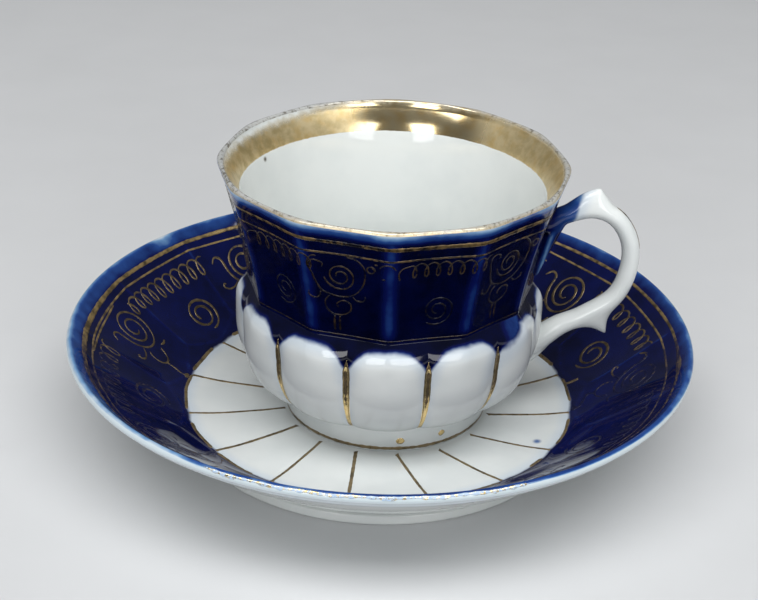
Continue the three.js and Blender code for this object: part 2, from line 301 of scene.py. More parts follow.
def saucer_top(r, angle):
    off = off_line(angle - PANEL_TURN, PANEL_HALF)
    off_petal = off_line(angle - petal_swing(r, angle) - PANEL_TURN, PANEL_HALF)
    well = np.clip((r - WELL_LEVEL) / (WELL_RADIUS - WELL_LEVEL), 0, 1)
    z = WELL_FLOOR + WELL_RISE * well**WELL_POWER + band_climb(r)
    petal = rise(r, WELL_LEVEL, PETAL_BEGIN) * fall(r, WELL_RADIUS + 0.5, PETAL_FADE)
    z = z - PETAL_DEPTH * (1.0 - off_petal) ** 2 * petal
    fade = rise(r, panel_end(off), PANEL_FADE) * fall(r, RIM, PANEL_FADE)
    z = z - PANEL_DEPTH * (1.0 - off**2) * fade
    over = np.clip((r - RIM) / RIM_ROUND, 0, 0.98)
    return z + RIDGE_HEIGHT * panel_line(r, off) - RIM_ROUND * (1 - np.sqrt(1 - over**2))


def saucer_under(r):
    return np.maximum(SAUCER_SEAT, WELL_FLOOR + WELL_RISE + band_climb(r) - SAUCER_WALL)


# Cup surfaces


def fullness(h):
    """0 at the foot to 1 at the belly, as an oval's quarter goes."""
    return np.sqrt(1 - np.clip((BELLY - h) / BELLY_HEIGHT, 0, 1) ** 2)


def up_shoulder(h):
    return np.clip((h - BELLY) / SHOULDER_HEIGHT, 0, 1)


def crest(h):
    """Radius of the cup on its ridges and on the middles of its lobes."""
    h = np.asarray(h, float)
    flare = np.clip((h - WAIST) / (LIP - WAIST), 0, None)
    lobe = lerp(CUP_BOWL_RADIUS, LOBE_RADIUS, fullness(h))
    start, end = SHOULDER_TURN
    shoulder = up_shoulder(h)
    bend = np.clip(shoulder - start, 0, end - start) ** 3 / (3 * (end - start) ** 2)
    bend = bend + np.maximum(0, shoulder - end)
    waist = lerp(LOBE_RADIUS, WAIST_RADIUS, bend / ((end - start) / 3 + 1 - end))
    facet = lerp(WAIST_RADIUS, LIP_RADIUS, flare**FLARE_POWER)
    return np.where(h <= BELLY, lobe, np.where(h <= WAIST, waist, facet))


def drawn_in(h, off):
    """How far the outside lies within the crest, from a ridge (0) to a facet's middle (1)."""
    near_lip = rise(h, LIP - LIP_EASE, LIP_EASE)
    ease = lerp(RIDGE_SOFT, LIP_SOFT, near_lip)
    soft = (np.sqrt(off**2 + ease**2) - ease) / (np.sqrt(1 + ease**2) - ease)
    facet = crest(h) * (1 - cos(LOBE_HALF) / np.cos(LOBE_HALF * (1 - soft)))
    facet = facet + FACET_HOLLOW * soft * (2 - soft) * rise(h, WAIST, FACET_EASE)
    facet = facet * lerp(1, LIP_FACET, near_lip)
    arc = 1 - np.sqrt(1 - (LOBE_FULLNESS * off) ** 2)
    deepest = 1 - sqrt(1 - LOBE_FULLNESS**2)
    depth = LOBE_DEPTH * lerp(LOBE_FOOT, 1, fullness(h)) * lerp(1, LOBE_TOP, up_shoulder(h))
    return lerp(facet, depth * arc / deepest, fall(h, WAIST - LOBE_END, LOBE_BLEND))


def bowl_outside(h, angle):
    return crest(h) - drawn_in(h, off_line(angle, LOBE_HALF))


def bowl_inside(h):
    def wide(at):
        return crest(at) * cos(LOBE_HALF) - CUP_WALL

    share = np.clip((WAIST - h) / (WAIST - CUP_FLOOR), 0, 1)
    low = wide(WAIST) * (1 - share**HOLLOW_POWER) ** (1 / HOLLOW_POWER)
    gilt = np.clip((h - LIP + LIP_BAND) / LIP_BAND, 0, 1)
    high = wide(np.maximum(h, WAIST)) + LIP_FLARE * gilt**LIP_FLARE_POWER
    return np.where(h >= WAIST, high, low)


# Meshes


def spread(lines, shares):
    """Angles round a turn, crowded as the shares are between a line (0) and half way on (1)."""
    half = pi / lines
    ahead = np.array(shares) * half
    one = np.r_[ahead, 2 * half - ahead[1:-1][::-1]]
    return np.hstack([one + 2 * half * k for k in range(lines)])


def polar(r, angle, z):
    r, angle, z = np.broadcast_arrays(r, angle, z)
    return np.stack([r * np.cos(angle), r * np.sin(angle), z], axis=-1)


def add_object(name, vertices, faces, marks=None, material=None):
    mesh = bpy.data.meshes.new(name)
    mesh.from_pydata((np.asarray(vertices) * MM).tolist(), [], faces)
    mesh.shade_smooth()
    for key, values in (marks or {}).items():
        attribute = mesh.attributes.new(key, "FLOAT", "POINT")
        attribute.data.foreach_set("value", np.asarray(values, np.float32).ravel())
    obj = bpy.data.objects.new(name, mesh)
    bpy.context.scene.collection.objects.link(obj)
    if material:
        mesh.materials.append(material)
    return obj


def put(obj, body, slot, *nodes):
    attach(obj, body)
    if nodes:
        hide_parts(*nodes)


def between_rings(rings, sides, closed, first=0):
    """Numbers of the points of rings, and the quads from each ring to the next."""
    index = np.arange(rings * sides).reshape(rings, sides) + first
    ahead = np.roll(index, -1, axis=1)
    quads = [index, ahead, np.roll(ahead, -1, axis=0), np.roll(index, -1, axis=0)]
    quads = np.stack(quads, axis=-1)
    return index, (quads if closed else quads[:-1]).reshape(-1, 4)


def turned(name, points, marks, material, tube=False):
    """A closed surface of rings. A tube's last ring meets its first; otherwise both ends are
    closed at the axis."""
    rings, around = points.shape[:2]
    index, quads = between_rings(rings, around, tube)
    faces = quads[:, [0, 3, 2, 1]].tolist()
    vertices = points.reshape(-1, 3)
    values = {k: np.broadcast_to(v, (rings, around)).ravel() for k, v in marks.items()}
    line = points[:, 0]
    along = run_along(np.vstack([line, line[:1]]) if tube else line)
    along = along / along[-1]
    u = np.arange(around + 1) / around
    row, column = np.indices((len(along) - 1, around))
    corners = ((0, 0), (1, 0), (1, 1), (0, 1))
    uv = [pair(u[column + right], along[row + down]) for down, right in corners]
    uv = np.stack(uv, axis=2).reshape(-1, 2)
    if not tube:
        vertices = np.vstack([vertices, points[0].mean(axis=0), points[-1].mean(axis=0)])
        values = {k: np.r_[v, v[:around].mean(), v[-around:].mean()] for k, v in values.items()}
        first, last = rings * around, rings * around + 1
        top, bottom = index[0].tolist(), index[-1].tolist()
        caps = []
        for k in range(around):
            after = (k + 1) % around
            faces += [[first, top[k], top[after]], [last, bottom[after], bottom[k]]]
            left, right = u[k], u[k + 1]
            middle = (left + right) / 2
            caps += [(middle, 0), (left, 0), (right, 0), (middle, 1), (right, 1), (left, 1)]
        uv = np.vstack([uv, caps])
    obj = add_object(name, vertices, faces, values, material)
    layer = obj.data.uv_layers.new(name="OFBake")
    layer.data.foreach_set("uv", np.asarray(uv, np.float32).ravel())
    return obj


def rounded_ring(inner, outer_low, outer_high, high, rounding):
    """Profile of a foot ring that is rounded at its tread, from its inner top round to the outer."""
    turn = np.linspace(0, pi / 2, 6)
    falling = rounding * (1 - np.sin(turn))
    rising = rounding * (1 - np.cos(turn))
    up = np.linspace(0, 1, 8)[1:]
    back = lerp(outer_high, inner, np.array([0.3, 0.7]))
    wall = lerp(outer_low, outer_high, up)
    r = np.r_[inner, inner, inner + rising, outer_low - falling, wall, back]
    z = np.r_[high, high / 2, falling, rising, lerp(rounding, high, up), high, high]
    return pair(r, z)


# Materials


class Nodes:
    """A small helper for wiring a material's nodes."""

    def __init__(self, name):
        self.material = bpy.data.materials.new(name)
        self.material.use_nodes = True
        self.tree = self.material.node_tree
        self.shader = self.tree.nodes["Principled BSDF"]
        self.where = self.tree.nodes.new("ShaderNodeTexCoord").outputs["Object"]

    def link(self, source, target):
        if isinstance(source, bpy.types.NodeSocket):
            self.tree.links.new(source, target)
        else:
            target.default_value = source

    def set(self, name, source):
        """Sets one of the shader's inputs."""
        self.link(source, self.shader.inputs[name])

    def node(self, kind, output, inputs, **settings):
        """One output of a new node, whose inputs are sockets or plain values."""
        node = self.tree.nodes.new("ShaderNode" + kind)
        for key, value in settings.items():
            setattr(node, key, value)
        for key, value in inputs.items():
            self.link(value, node.inputs[key])
        return node.outputs[output]

    def mark(self, name):
        return self.node("Attribute", "Fac", {}, attribute_name=name)

    def noise(self, size, detail=3.0, rough=0.55):
        """Noise whose blots are about size millimetres across."""
        grain = {"Scale": 1.0 / (size * MM), "Detail": detail, "Roughness": rough}
        return self.node("TexNoise", "Fac", {"Vector": self.where, **grain})

    def specks(self, spacing, size):
        """1 in sparse round specks of that size, 0 elsewhere."""
        inputs = {"Vector": self.where, "Scale": 1.0 / (spacing * MM)}
        distance = self.node("TexVoronoi", "Distance", inputs)
        return self.between(distance, size / spacing, 0.4 * size / spacing)

    def spot(self, place, size):
        """1 in a spot at a place in millimetres, fading to 0 at its size."""
        inputs = {0: self.where, 1: [c * MM for c in place]}
        distance = self.node("VectorMath", "Value", inputs, operation="DISTANCE")
        return self.between(distance, size * MM, 0.15 * size * MM)

    def math(self, operation, a, b):
        return self.node("Math", "Value", {0: a, 1: b}, operation=operation)

    def add(self, a, b):
        return self.math("ADD", a, b)

    def times(self, a, b):
        return self.math("MULTIPLY", a, b)

    def swing(self, value, amount):
        """The value about its middle, 0.5, times an amount."""
        return self.times(self.math("SUBTRACT", value, 0.5), amount)

    def between(self, value, start, end, low=0.0, high=1.0):
        """low up to start, high from end on, and smooth between them."""
        inputs = {"Value": value, "From Min": start, "From Max": end, "To Min": low, "To Max": high}
        return self.node("MapRange", "Result", inputs, interpolation_type="SMOOTHSTEP")

    def mix(self, share, a, b):
        return self.node("Mix", "Result", {"Factor": share, "A": a, "B": b}, data_type="RGBA")

    def ramp(self, value, stops):
        node = self.tree.nodes.new("ShaderNodeValToRGB")
        points = node.color_ramp.elements
        while len(points) < len(stops):
            points.new(0.5)
        for point, (place, colour) in zip(points, stops):
            point.position = place
            point.color = colour
        self.link(value, node.inputs["Fac"])
        return node.outputs["Color"]

    def bump(self, height, depth):
        inputs = {"Strength": 1.0, "Distance": depth * MM, "Height": height}
        self.set("Normal", self.node("Bump", "Normal", inputs))


PORCELAIN = (0.73, 0.76, 0.75, 1)
PORCELAIN_GREY = (0.68, 0.715, 0.71, 1)
PORCELAIN_BLUED = (0.40, 0.52, 0.68, 1)
SPECK = (0.10, 0.08, 0.06, 1)
FLECK = (0.09, 0.16, 0.34, 1)
COBALT_STOPS = [
    (0.0, (0.0003, 0.0008, 0.0060, 1)),
    (0.3, (0.0022, 0.0056, 0.070, 1)),
    (0.6, (0.018, 0.064, 0.250, 1)),
    (0.82, (0.14, 0.28, 0.49, 1)),
    (1.0, (0.56, 0.64, 0.68, 1)),
]
COBALT_DEEP = (0.0014, 0.0030, 0.032, 1)
COBALT_BLACK = COBALT_STOPS[0][1]
GOLD = (0.78, 0.57, 0.26, 1)
GOLD_PALE = (0.83, 0.69, 0.42, 1)
GOLD_OLIVE = (0.44, 0.345, 0.16, 1)
GOLD_DULL = (0.42, 0.30, 0.13, 1)
GOLD_TAN = (0.27, 0.20, 0.10, 1)
GOLD_TAN_DARK = (0.12, 0.088, 0.045, 1)
GOLD_BROWN = (0.24, 0.158, 0.062, 1)
GOLD_UMBER = (0.058, 0.037, 0.016, 1)
GOLD_DARK = (0.014, 0.0095, 0.006, 1)
LIP_PALE = (0.45, 0.46, 0.45, 1)
LIP_GREY = (0.15, 0.14, 0.12, 1)
GLAZE_IOR = 1.5


def white_glaze(n):
    """Faintly uneven white with a few iron specks."""
    white = n.mix(n.between(n.noise(14.0), 0.35, 0.7), PORCELAIN, PORCELAIN_GREY)
    return n.mix(n.times(n.specks(24.0, 0.34), 0.6), white, SPECK)


def painted_glaze(n, fringe, clouds):
    """White where the mark cobalt is below 0, blue above it, with a bled edge, a lighter fringe
    along it and thin places."""
    edge = n.add(n.mark("cobalt"), n.swing(n.noise(3.6, 2.0), 0.9))
    painted = n.between(edge, -0.50, 0.55)
    halo = n.times(n.between(edge, -3.6, 0.1), 0.40)
    white = n.mix(halo, white_glaze(n), PORCELAIN_BLUED)
    lean = n.between(edge, 1.2, 0.1, 0.0, fringe)
    thin = n.math("MAXIMUM", n.mark("thin"), lean)
    grain = n.times(n.swing(n.noise(4.2, 4.0), 0.26), n.between(thin, 0.0, 0.5, 0.5, 1.4))
    grain = n.times(grain, n.between(thin, 0.6, 0.95, 1.0, 0.2))
    cloud = n.swing(n.noise(17.0), clouds)
    depth = n.add(n.add(thin, 0.06), n.add(grain, cloud))
    return n.mix(painted, white, n.ramp(depth, COBALT_STOPS))


def even_gloss(n):
    return n.between(n.noise(5.0), 0.3, 0.75, 0.025, 0.06)


def glazed(n, colour, roughness):
    """The material, with a glaze's colour, gloss and faint waves."""
    n.set("Base Color", colour)
    n.set("Roughness", roughness)
    n.set("IOR", GLAZE_IOR)
    n.bump(n.noise(4.5, 1.0), 0.012)
    return n.material


def make_white(name):
    n = Nodes(name)
    return glazed(n, white_glaze(n), even_gloss(n))


def make_painted(name, fringe, clouds, fleck=None):
    n = Nodes(name)
    colour = painted_glaze(n, fringe, clouds)
    if fleck:
        colour = n.mix(n.spot(*fleck), colour, FLECK)
    return glazed(n, colour, even_gloss(n))


def make_bowl_glaze(name):
    """The painted glaze with a burnished gold band inside the lip, rubbed away along the lip."""
    n = Nodes(name)
    band = n.between(n.add(n.mark("gilt"), n.swing(n.noise(1.6, 4.0), 0.35)), -0.05, 0.12)
    rub = n.add(n.mark("rub"), n.swing(n.noise(2.2, 6.0, 0.65), 0.55))
    kept = n.times(band, n.between(rub, 0.80, 0.22))
    worn = n.mix(n.between(n.noise(1.1, 5.0, 0.7), 0.48, 0.64), LIP_PALE, LIP_GREY)
    bare = n.between(n.add(n.mark("lip"), n.swing(n.noise(1.1, 4.0), 0.6)), 0.35, 0.65)
    ground = n.mix(bare, painted_glaze(n, 0.42, 0.14), worn)
    ground = n.mix(n.spot(SPECK_INSIDE, 0.9), ground, SPECK)
    gold = n.mix(n.between(n.noise(3.2, 4.0), 0.42, 0.72), GOLD_PALE, GOLD)
    mottled = n.between(n.noise(2.6, 5.0, 0.6), 0.36, 0.64, 0.6, 1.25)
    gold = n.mix(n.times(n.mark("olive"), mottled), gold, GOLD_OLIVE)
    haze = n.mark("haze")
    n.set("Metallic", n.times(kept, n.between(haze, 0, 1, 1.0, 0.66)))
    polish = n.between(n.mark("cobalt"), -0.4, 0.4, 0.035, 0.08)
    polish = n.add(polish, n.swing(n.noise(5.0), 0.03))
    dulled = n.times(n.times(kept, haze), 0.34)
    return glazed(n, n.mix(kept, ground, gold), n.add(polish, dulled))


def make_gilding(name, ground, bright, dull, worn, shine, rough, grain=0.006):
    """Thin brushed gold, dulled, and rubbed through in places to the colour under it. Where the
    mark faded is 1, little of it is left."""
    n = Nodes(name)
    gold = n.mix(n.between(n.noise(2.4, 4.0), 0.38, 0.66), bright, dull)
    faded = n.mark("faded")
    rubbed = n.add(n.noise(0.9, 6.0, 0.7), n.times(faded, 0.22))
    left = n.between(rubbed, worn + 0.06, worn - 0.06)
    left = n.times(left, n.between(faded, 0, 1, 1.0, 0.35))
    n.set("Base Color", n.mix(left, ground, gold))
    n.set("Metallic", n.times(left, shine))
    n.set("Roughness", n.between(n.noise(0.8, 3.0), 0.3, 0.7, rough, 1.8 * rough))
    n.bump(n.noise(1.2, 2.0), grain)
    return n.material


# Saucer pieces

PANEL_SHARES = [0, 0.012, 0.03, 0.06, 0.11, 0.18, 0.27, 0.36, 0.46, 0.56, 0.66, 0.76, 0.85]
PANEL_SHARES += [0.91, 0.95, 0.975, 0.99, 1]
LOBE_SHARES = [0, 0.015, 0.035, 0.06, 0.1, 0.16, 0.23, 0.31, 0.4, 0.49, 0.58, 0.67, 0.75, 0.82]
LOBE_SHARES += [0.88, 0.925, 0.955, 0.975, 0.99, 1]


def saucer_paint(r, angle, beneath):
    """Where the saucer is blue, and how thin the blue is: paler to the rim, most of all on the
    left, with a painted highlight along the rim's outer rounding, and white on the outer edge
    along the front."""
    off = off_line(angle - PANEL_TURN, PANEL_HALF)
    edge = COBALT_EDGE - COBALT_POINT * (1 - off) ** 3
    under, inwards, width = UNDER_EDGE
    cobalt = np.where(beneath, -under - inwards * fall(r, RIM, width), r - edge)
    pale = RIM_THIN + patch(angle, *RIM_PALER) + patch(angle, *RIM_DEEPER)
    chip = patch(angle % TURN, *RIM_CHIP)
    start, width = RIM_FADE
    climb = 0.84 * rise(r, start, width + np.cos(angle)) + 0.16 * rise(r, *RIM_PALE)
    front = rise(-np.sin(angle), -0.05, 0.75)
    # The rim's outer edge is white along the front only.
    white = (RIM_WHITE - pale) * rise(r, RIM_FRONT_WHITE - 0.45 * front, 0.4) * rise(front, 0.02, 0.4)
    # Painted highlight: a lighter band of blue along the rim's outer rounding, all round, strongest on
    # the left and weaker at the front.
    painted_highlight = (0.20 + 0.18 * smooth(-np.cos(angle))) * rise(r, *RIM_HIGHLIGHT) * (1 - 0.6 * front)
    rim = (pale - BAND_THIN + chip) * climb + painted_highlight + white
    thin = BAND_THIN + np.maximum(rim, 0.13 * panel_line(r, off))
    return {"cobalt": cobalt, "thin": thin}


def saucer_dish(material):
    angle = (spread(PANELS, PANEL_SHARES) + PANEL_TURN)[None, :]
    level = np.linspace(WELL_MIDDLE, WELL_LEVEL, 8)
    well = np.linspace(WELL_LEVEL, WELL_RADIUS, 24)[1:]
    band = np.linspace(WELL_RADIUS, RIM, 66)[1:]
    top = np.r_[level, well, band][:, None] + 0 * angle
    turn = np.linspace(0, pi, 11)[1:, None] + 0 * angle
    under = np.linspace(RIM - 0.6, SAUCER_FOOT + 0.3, 34)[:, None] + 0 * angle
    last = np.array(UNDER_RINGS)[:, None] + 0 * angle
    round_z = SAUCER_HEIGHT - RIM_ROUND * (1 - np.cos(turn))
    r = np.vstack([top, RIM + RIM_ROUND * np.sin(turn), under, last])
    z = np.vstack([saucer_top(top, angle), round_z, saucer_under(under), 0 * last + SAUCER_SEAT])
    beneath = np.arange(len(r))[:, None] >= len(top) + len(turn) // 2
    marks = saucer_paint(r, angle, beneath)
    return turned("saucer_dish_glazed", polar(r, angle, z), marks, material)


def foot_ring(name, origin, profile, material):
    angle = np.linspace(0, TURN, 192, endpoint=False)[None, :]
    points = polar(profile[:, :1], angle, profile[:, 1:]) + origin
    return turned(name, points, {}, material, tube=True)


# Cup pieces


def lobe_paint(h, across, half):
    """Distance above 0 outside the white arch of a lobe, in millimetres."""
    side = half - STRIP_HALF * rise(h, STRIP_END, 6.0) + 0.9 * fall(h, STRIP_END, 2.0)
    top = ARCH_TOP - ARCH_SAG * (across / 6.0) ** 2
    beside = np.maximum(0, across - (side - ARCH_CORNER))
    above = np.maximum(0, h - (top - ARCH_CORNER))
    return np.hypot(beside, above) - ARCH_CORNER


def bowl_paint(h, angle, inside, beneath):
    """Where the bowl is blue, and how thin the blue is."""
    half = LOBE_HALF * crest(h)
    off = off_line(angle, LOBE_HALF)
    across = off * half
    beside = (angle - RUN_ANGLE) * crest(h)
    above = np.maximum(0, RUN_CORNER - (h - RUN_LOW - RUN_CLIMB * beside))
    within = np.maximum(0, RUN_CORNER - (RUN_ACROSS - beside))
    run = np.minimum(RUN_CORNER - np.hypot(above, within), beside + 0.4)
    lobes = np.maximum(lobe_paint(h, across, half), 0.5 * run)
    cobalt = np.where(h > WAIST, np.maximum(1.0, h - WAIST), lobes)
    cobalt = np.where(inside | beneath, -6.0, cobalt)
    streak = STREAK_THIN * bell(across, 0, STREAK_WIDTH) * rise(h, WAIST + 0.5, 2.0)
    lip = lerp(*LIP_THIN, smooth(off / 0.8)) * rise(h, *LIP_FADE)
    spill = RUN_THIN * smooth(run / 1.2) * rise(beside, 0.6, 4.5) * (h < WAIST)
    thin = np.maximum(np.maximum(streak, lip), spill)
    thin = thin - 0.10 * smooth(off / 0.5) * fall(h, LIP - 2.0, 2.0)
    return {"cobalt": cobalt, "thin": thin}


def lip_gilding(h, angle, inside):
    """Where the bowl is gilt inside its lip, where the gold is rubbed, olive or hazy, and where
    the lip is bare."""
    gilt = np.where(inside, h - (LIP - LIP_BAND), np.where(h > LIP_EDGE, 1.0, -3.0))
    left = patch(angle, *RUB_LEFT)
    rub = 0.50 + 0.22 * np.abs(np.cos(angle)) ** 1.3 + 0.34 * left + 0.08 * smooth(-np.sin(angle))
    depth = lerp(*RUB_DEPTH, left)
    rub = np.clip((h - (LIP - depth)) / depth, 0, 1) ** 1.4 * rub
    lip = rise(h, LIP - 0.9, 0.6) * np.where(inside | (h > LIP_EDGE), 1.0, 0.6)
    haze = 0.28 + 0.72 * rise(np.abs(angle - radians(80)), 0.30, 0.30)
    olive = 0.7 * rise(-np.cos(angle), 0.35, 0.5) + 0.5 * rise(np.cos(angle), 0.35, 0.5)
    olive = np.maximum(olive, patch(angle, 118, 0.35, 0.55))
    return {"gilt": gilt, "rub": rub, "lip": lip, "olive": olive, "haze": haze}


def cup_bowl(material):
    angle = spread(LOBES, LOBE_SHARES)[None, :]
    hollow = WAIST - (WAIST - CUP_FLOOR) * np.cos(np.linspace(0.12, pi / 2, 26))
    wall = np.linspace(WAIST, LIP_EDGE, 34)[1:]
    inside_h = np.r_[hollow, wall][:, None] + 0 * angle
    turn = np.linspace(0, pi, 12)[1:-1, None]
    round_share = (1 - np.cos(turn)) / 2
    round_r = lerp(bowl_inside(LIP_EDGE), bowl_outside(LIP_EDGE, angle), round_share)
    round_h = LIP - LIP_ROUND * (1 - np.sin(turn)) + 0 * angle
    facets = np.r_[np.linspace(LIP_EDGE, WAIST + CREASE, 46), WAIST]
    shoulder = np.linspace(WAIST - CREASE, BELLY, 28)
    belly = BELLY - BELLY_HEIGHT * np.sin(np.linspace(0, pi / 2, 30))[1:]
    outside_h = np.r_[facets, shoulder, belly][:, None] + 0 * angle
    under_r = np.array(CUP_UNDER_RINGS)[:, None] + 0 * angle
    r = np.vstack([bowl_inside(inside_h), round_r, bowl_outside(outside_h, angle), under_r])
    h = np.vstack([inside_h, round_h, outside_h, 0 * under_r + FOOT_TOP])
    row = np.arange(len(r))[:, None]
    inside = row < len(inside_h) + len(round_h) // 2
    beneath = row >= len(r) - len(under_r)
    marks = {**bowl_paint(h, angle, inside, beneath), **lip_gilding(h, angle, inside)}
    return turned("cup_bowl_glazed", polar(r, angle, h) + CUP_ORIGIN, marks, material)


def through(points):
    """A smooth curve through points."""
    p = np.asarray(points, float)
    p = np.vstack([2 * p[0] - p[1], p, 2 * p[-1] - p[-2]])
    t = np.linspace(0, 1, 24, endpoint=False)[:, None]
    parts = []
    for a, b, c, d in zip(p, p[1:], p[2:], p[3:]):
        square = 2 * a - 5 * b + 4 * c - d
        cube = 3 * b - a - 3 * c + d
        parts.append(0.5 * (2 * b + (c - a) * t + square * t**2 + cube * t**3))
    return np.vstack(parts + [p[-2:-1]])


def left_of(along):
    return pair(-along[:, 1], along[:, 0])


def bar(path, thick, wide, stand=0.0, sides=24):
    """A closed bar with oval sections square to a path in the plane y = 0. On the path's left the
    sections stand out further, and are narrower there."""
    across = left_of(unit(np.gradient(path, axis=0)))
    turn = np.linspace(0, TURN, sides, endpoint=False)
    left = np.maximum(0, np.cos(turn))
    stand = (stand + np.zeros(len(path)))[:, None]
    lift = thick[:, None] * np.cos(turn) + stand * left
    x = path[:, :1] + across[:, :1] * lift
    z = path[:, 1:] + across[:, 1:] * lift
    y = wide[:, None] * np.sin(turn) * (1 - 0.05 * stand * left)
    index, quads = between_rings(len(path), sides, closed=False)
    faces = quads.tolist() + [index[0][::-1].tolist(), index[-1].tolist()]
    return np.stack([x, y, z], axis=-1).reshape(-1, 3), faces


def handle_line():
    upper = np.array([float(crest(HANDLE_UPPER)), HANDLE_UPPER])
    lower = np.array([float(crest(HANDLE_LOWER)), HANDLE_LOWER])
    loop = np.array(HANDLE_LOOP)
    turns = np.radians([90, 55, 20, -15, -50])
    oval = [loop + np.array(LOOP_SIZE) * (cos(t), sin(t)) for t in turns]
    oval[-1] = lerp(loop, oval[-1], LOOP_BULGE)
    neck = np.array([loop[0], lower[1] + NECK_RISE])
    arm = lerp(neck, lower, 0.6) + (0, 0.4)
    start = upper + (-HANDLE_SINK, -2.0)
    end = lower + (-HANDLE_SINK, -2.4)
    return through([start, upper + (3.0, 0.8), *oval, neck, arm, end])


def handle_stand(line):
    """How far the thumb rest and the spur stand out along the handle's line."""
    run = run_along(line)
    high = line[:, 1] > HANDLE_LOOP[1]
    far = 99.0
    thumb = run[np.argmin(np.abs(line[:, 0] - THUMB_AT) + np.where(high, 0, far))]
    spur = run[np.argmin(np.abs(line[:, 0] - SPUR_AT) + np.where(high, far, 0))]
    before = np.clip(1 - (thumb - run) / THUMB_RISE, 0, 1) ** 1.25
    after = np.clip(1 - (run - thumb) / THUMB_FALL, 0, 1) ** 1.6
    rest = THUMB_STAND * np.where(run < thumb, before, after)
    return rest + SPUR_STAND * np.exp(-((np.abs(run - spur) / SPUR_FALL) ** 1.25))


def tail(end, length, proud, thick, wide):
    """A bar down the cup's wall from one end of the handle, from its first sizes to its last."""
    h = np.linspace(end + TAIL_ABOVE, end - length, 30)
    s = np.linspace(0, 1, len(h))
    path = pair(crest(h) + lerp(*proud, s), h)
    return bar(path, lerp(*thick, s), lerp(*wide, s))


def fused(parts):
    """Points and faces of one smooth skin over bars that run into each other."""
    vertices, faces = [], []
    for points, polygons in parts:
        base = sum(len(v) for v in vertices)
        vertices.append(points + CUP_ORIGIN)
        faces += [[base + k for k in polygon] for polygon in polygons]
    rough = add_object("cup_handle_rough", np.vstack(vertices), faces)
    fuse = rough.modifiers.new("fuse", "REMESH")
    fuse.mode = "VOXEL"
    fuse.voxel_size = HANDLE_VOXEL * MM
    ease = rough.modifiers.new("ease", "SMOOTH")
    ease.factor = 0.5
    ease.iterations = 6
    seen = rough.evaluated_get(bpy.context.evaluated_depsgraph_get())
    skin = bpy.data.meshes.new_from_object(seen)
    bpy.data.objects.remove(rough)
    points = np.zeros(len(skin.vertices) * 3, np.float32)
    skin.vertices.foreach_get("co", points)
    faces = [list(p.vertices) for p in skin.polygons]
    bpy.data.meshes.remove(skin)
    return points.reshape(-1, 3) / MM, faces


def cup_handle(material):
    line = handle_line()
    t = np.linspace(0, 1, len(line))
    swell = 1 + 0.25 * rise(t, 0.80, 0.16) + 0.20 * fall(t, 0.10, 0.10)
    loop = bar(line, HANDLE_THICK * swell, HANDLE_WIDE * swell, handle_stand(line))
    upper = tail(HANDLE_UPPER, UPPER_TAIL, (1.5, -0.1), (2.3, 0.9), (2.7, 1.2))
    lower = tail(HANDLE_LOWER, LOWER_TAIL, (1.0, -0.4), (2.8, 0.7), (2.8, 0.9))
    points, faces = fused([loop, upper, lower])
    h = points[:, 2] - CUP_BASE
    from_wall = points[:, 0] - CUP_AXIS - crest(h)
    root_thin = np.clip(0.22 + 0.09 * from_wall, 0, 0.66)
    tail_thin = 0.08 + 0.66 * bell(from_wall, 0.9, 0.7)
    marks = {
        "cobalt": np.where(h > HANDLE_BLUE_LOW, HANDLE_BLUE - from_wall, -5.0),
        "thin": lerp(root_thin, tail_thin, fall(h, HANDLE_UPPER - 2.0, 2.5)),
    }
    return add_object("cup_handle_glazed", points, faces, marks, material)


# Gilding


def on_saucer(points, centre):
    """Places of a flat layout on the saucer: u runs to the right as seen from the axis outward."""
    angle = centre - points[..., 0] / SAUCER_CHART
    return polar(points[..., 1], angle, saucer_top(points[..., 1], angle))


def on_cup(points, centre):
    angle = centre + points[..., 0] / CUP_CHART
    h = points[..., 1]
    return polar(bowl_outside(h, angle), angle, h) + CUP_ORIGIN


def on_foot(points, centre):
    angle = centre + points[..., 0] / CUP_FOOT
    h = points[..., 1]
    share = (h - CUP_FOOT_ROUND) / (FOOT_TOP - CUP_FOOT_ROUND)
    return polar(lerp(CUP_FOOT, CUP_BOWL_RADIUS, share), angle, h) + CUP_ORIGIN


def on_handle(handle):
    """A chart of the handle's outer side: u runs down the loop and v to its back."""
    corners = [v.co / MM for v in handle.data.vertices]
    surface = BVHTree.FromPolygons(corners, [p.vertices for p in handle.data.polygons])
    wide, tall = LOOP_SIZE
    outside = 6.0

    def place(u, v, centre):
        turn = centre - u / HANDLE_CHART
        lean = v / HANDLE_WIDE
        line = Vector((cos(turn) / wide, 0, sin(turn) / tall)).normalized()
        out = line * cos(lean) + Vector((0, sin(lean), 0))
        core = Vector(HANDLE_MIDDLE) + Vector((wide * cos(turn), 0, tall * sin(turn)))
        found = surface.ray_cast(core + out * outside, -out)[0]
        return found or core + out * HANDLE_THICK

    def chart(points, centre):
        places = [place(u, v, centre) for u, v in points.reshape(-1, 2)]
        return np.array(places).reshape(points.shape[:-1] + (3,))

    return chart


def even(path):
    """The path again, with points about a step apart."""
    run = run_along(path)
    at = np.linspace(0, run[-1], max(3, int(round(run[-1] / GILT_STEP)) + 1))
    return np.stack([np.interp(at, run, path[:, k]) for k in range(2)], axis=1)


def phase(rng):
    return rng.uniform(0, 6.28)


SECTION = np.array([(-1.0, 0.3), (-0.55, 1.0), (0.55, 1.0), (1.0, 0.3)])


